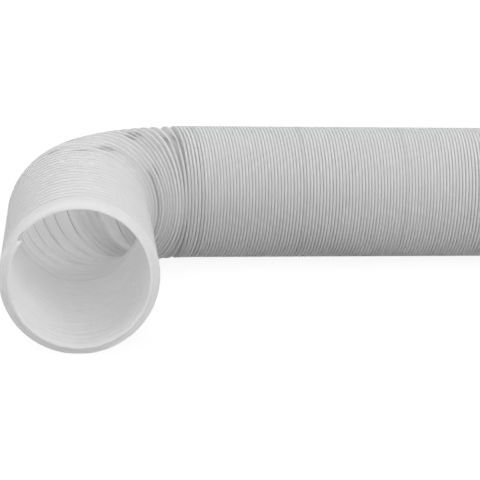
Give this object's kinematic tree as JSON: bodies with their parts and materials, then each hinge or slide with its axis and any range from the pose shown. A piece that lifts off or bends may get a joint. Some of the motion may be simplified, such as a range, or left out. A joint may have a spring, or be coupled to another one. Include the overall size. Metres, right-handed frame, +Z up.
{
  "type": "flexible air duct",
  "caption": "Flexible air duct with a pleated white film wall over turns of spring wire, pushed closed along its run, bent round a corner and drawn out to an open mouth.",
  "frame": {"origin": "middle of the box of the duct as it lies, on the surface that it lies on", "axes": "+X along the closed run towards its far end, +Z up, the mouth faces -Y and a little -X"},
  "size_m": [0.591, 0.4432, 0.1495],
  "materials": {
    "film": "white plastic film with a soft sheen",
    "wire": "dull drawn spring wire"
  },
  "bodies": {
    "run": {"run_film": "film", "run_wire": "wire"},
    "far_end": {"far_film": "film", "far_wire": "wire"},
    "turn_01": {"bend_film_01": "film", "bend_wire_01": "wire"},
    "turn_02": {"bend_film_02": "film", "bend_wire_02": "wire"},
    "turn_03": {"bend_film_03": "film", "bend_wire_03": "wire"},
    "turn_04": {"bend_film_04": "film", "bend_wire_04": "wire"},
    "turn_05": {"bend_film_05": "film", "bend_wire_05": "wire"},
    "turn_06": {"bend_film_06": "film", "bend_wire_06": "wire"},
    "turn_07": {"bend_film_07": "film", "bend_wire_07": "wire"},
    "turn_08": {"bend_film_08": "film", "bend_wire_08": "wire"},
    "turn_09": {"bend_film_09": "film", "bend_wire_09": "wire"},
    "turn_10": {"bend_film_10": "film", "bend_wire_10": "wire"},
    "turn_11": {"bend_film_11": "film", "bend_wire_11": "wire"},
    "turn_12": {"bend_film_12": "film", "bend_wire_12": "wire"},
    "turn_13": {"bend_film_13": "film", "bend_wire_13": "wire"},
    "turn_14": {"bend_film_14": "film", "bend_wire_14": "wire"},
    "turn_15": {"bend_film_15": "film", "bend_wire_15": "wire"},
    "turn_16": {"bend_film_16": "film", "bend_wire_16": "wire"},
    "turn_17": {"bend_film_17": "film", "bend_wire_17": "wire"},
    "turn_18": {"bend_film_18": "film", "bend_wire_18": "wire"},
    "turn_19": {"bend_film_19": "film", "bend_wire_19": "wire"},
    "turn_20": {"bend_film_20": "film", "bend_wire_20": "wire"},
    "mouth": {"bend_film_21": "film", "bend_wire_21": "wire", "mouth_film": "film", "mouth_wire": "wire"},
    "rim": {"rim_film": "film", "rim_wire": "wire"}
  },
  "joints": [
    {"name": "bend_01", "type": "hinge", "parent": "run", "child": "turn_01", "pos_m": [-0.07178, 0.22153, 0.0745], "axis": [0, 0, 1], "range_deg": [-4.14, 0]},
    {"name": "bend_02", "type": "hinge", "parent": "turn_01", "child": "turn_02", "pos_m": [-0.0871, 0.22098, 0.0745], "axis": [0, 0, 1], "range_deg": [-4.14, 0]},
    {"name": "bend_03", "type": "hinge", "parent": "turn_02", "child": "turn_03", "pos_m": [-0.10233, 0.21932, 0.0745], "axis": [0, 0, 1], "range_deg": [-4.14, 0]},
    {"name": "bend_04", "type": "hinge", "parent": "turn_03", "child": "turn_04", "pos_m": [-0.11741, 0.21656, 0.0745], "axis": [0, 0, 1], "range_deg": [-4.14, 0]},
    {"name": "bend_05", "type": "hinge", "parent": "turn_04", "child": "turn_05", "pos_m": [-0.13225, 0.21273, 0.0745], "axis": [0, 0, 1], "range_deg": [-4.14, 0]},
    {"name": "bend_06", "type": "hinge", "parent": "turn_05", "child": "turn_06", "pos_m": [-0.14677, 0.20783, 0.0745], "axis": [0, 0, 1], "range_deg": [-4.14, 0]},
    {"name": "bend_07", "type": "hinge", "parent": "turn_06", "child": "turn_07", "pos_m": [-0.1609, 0.20189, 0.0745], "axis": [0, 0, 1], "range_deg": [-4.14, 0]},
    {"name": "bend_08", "type": "hinge", "parent": "turn_07", "child": "turn_08", "pos_m": [-0.17456, 0.19495, 0.0745], "axis": [0, 0, 1], "range_deg": [-4.14, 0]},
    {"name": "bend_09", "type": "hinge", "parent": "turn_08", "child": "turn_09", "pos_m": [-0.18769, 0.18704, 0.0745], "axis": [0, 0, 1], "range_deg": [-4.14, 0]},
    {"name": "bend_10", "type": "hinge", "parent": "turn_09", "child": "turn_10", "pos_m": [-0.20021, 0.17821, 0.0745], "axis": [0, 0, 1], "range_deg": [-4.14, 0]},
    {"name": "bend_11", "type": "hinge", "parent": "turn_10", "child": "turn_11", "pos_m": [-0.21206, 0.16849, 0.0745], "axis": [0, 0, 1], "range_deg": [-4.14, 0]},
    {"name": "bend_12", "type": "hinge", "parent": "turn_11", "child": "turn_12", "pos_m": [-0.22317, 0.15794, 0.0745], "axis": [0, 0, 1], "range_deg": [-4.14, 0]},
    {"name": "bend_13", "type": "hinge", "parent": "turn_12", "child": "turn_13", "pos_m": [-0.2335, 0.14661, 0.0745], "axis": [0, 0, 1], "range_deg": [-4.14, 0]},
    {"name": "bend_14", "type": "hinge", "parent": "turn_13", "child": "turn_14", "pos_m": [-0.24298, 0.13457, 0.0745], "axis": [0, 0, 1], "range_deg": [-4.14, 0]},
    {"name": "bend_15", "type": "hinge", "parent": "turn_14", "child": "turn_15", "pos_m": [-0.25157, 0.12188, 0.0745], "axis": [0, 0, 1], "range_deg": [-4.14, 0]},
    {"name": "bend_16", "type": "hinge", "parent": "turn_15", "child": "turn_16", "pos_m": [-0.25921, 0.10859, 0.0745], "axis": [0, 0, 1], "range_deg": [-4.14, 0]},
    {"name": "bend_17", "type": "hinge", "parent": "turn_16", "child": "turn_17", "pos_m": [-0.26588, 0.09479, 0.0745], "axis": [0, 0, 1], "range_deg": [-4.14, 0]},
    {"name": "bend_18", "type": "hinge", "parent": "turn_17", "child": "turn_18", "pos_m": [-0.27153, 0.08055, 0.0745], "axis": [0, 0, 1], "range_deg": [-4.14, 0]},
    {"name": "bend_19", "type": "hinge", "parent": "turn_18", "child": "turn_19", "pos_m": [-0.27614, 0.06593, 0.0745], "axis": [0, 0, 1], "range_deg": [-4.14, 0]},
    {"name": "bend_20", "type": "hinge", "parent": "turn_19", "child": "turn_20", "pos_m": [-0.27968, 0.05102, 0.0745], "axis": [0, 0, 1], "range_deg": [-4.14, 0]},
    {"name": "bend_21", "type": "hinge", "parent": "turn_20", "child": "mouth", "pos_m": [-0.28214, 0.03589, 0.0745], "axis": [0, 0, 1], "range_deg": [-4.14, 0]},
    {"name": "stretch", "type": "slide", "parent": "run", "child": "far_end", "axis": [1, 0, 0], "range_m": [0, 0.6], "deforming": ["run_film", "run_wire"]},
    {"name": "mouth_draw", "type": "slide", "parent": "mouth", "child": "rim", "axis": [-0.0523, -0.9986, 0], "range_m": [-0.1, 0.02], "deforming": ["mouth_film", "mouth_wire"]}
  ],
  "couplings": [
    {"joint": "bend_02", "follows": "bend_01", "ratio": 1},
    {"joint": "bend_03", "follows": "bend_01", "ratio": 1},
    {"joint": "bend_04", "follows": "bend_01", "ratio": 1},
    {"joint": "bend_05", "follows": "bend_01", "ratio": 1},
    {"joint": "bend_06", "follows": "bend_01", "ratio": 1},
    {"joint": "bend_07", "follows": "bend_01", "ratio": 1},
    {"joint": "bend_08", "follows": "bend_01", "ratio": 1},
    {"joint": "bend_09", "follows": "bend_01", "ratio": 1},
    {"joint": "bend_10", "follows": "bend_01", "ratio": 1},
    {"joint": "bend_11", "follows": "bend_01", "ratio": 1},
    {"joint": "bend_12", "follows": "bend_01", "ratio": 1},
    {"joint": "bend_13", "follows": "bend_01", "ratio": 1},
    {"joint": "bend_14", "follows": "bend_01", "ratio": 1},
    {"joint": "bend_15", "follows": "bend_01", "ratio": 1},
    {"joint": "bend_16", "follows": "bend_01", "ratio": 1},
    {"joint": "bend_17", "follows": "bend_01", "ratio": 1},
    {"joint": "bend_18", "follows": "bend_01", "ratio": 1},
    {"joint": "bend_19", "follows": "bend_01", "ratio": 1},
    {"joint": "bend_20", "follows": "bend_01", "ratio": 1},
    {"joint": "bend_21", "follows": "bend_01", "ratio": 1}
  ]
}
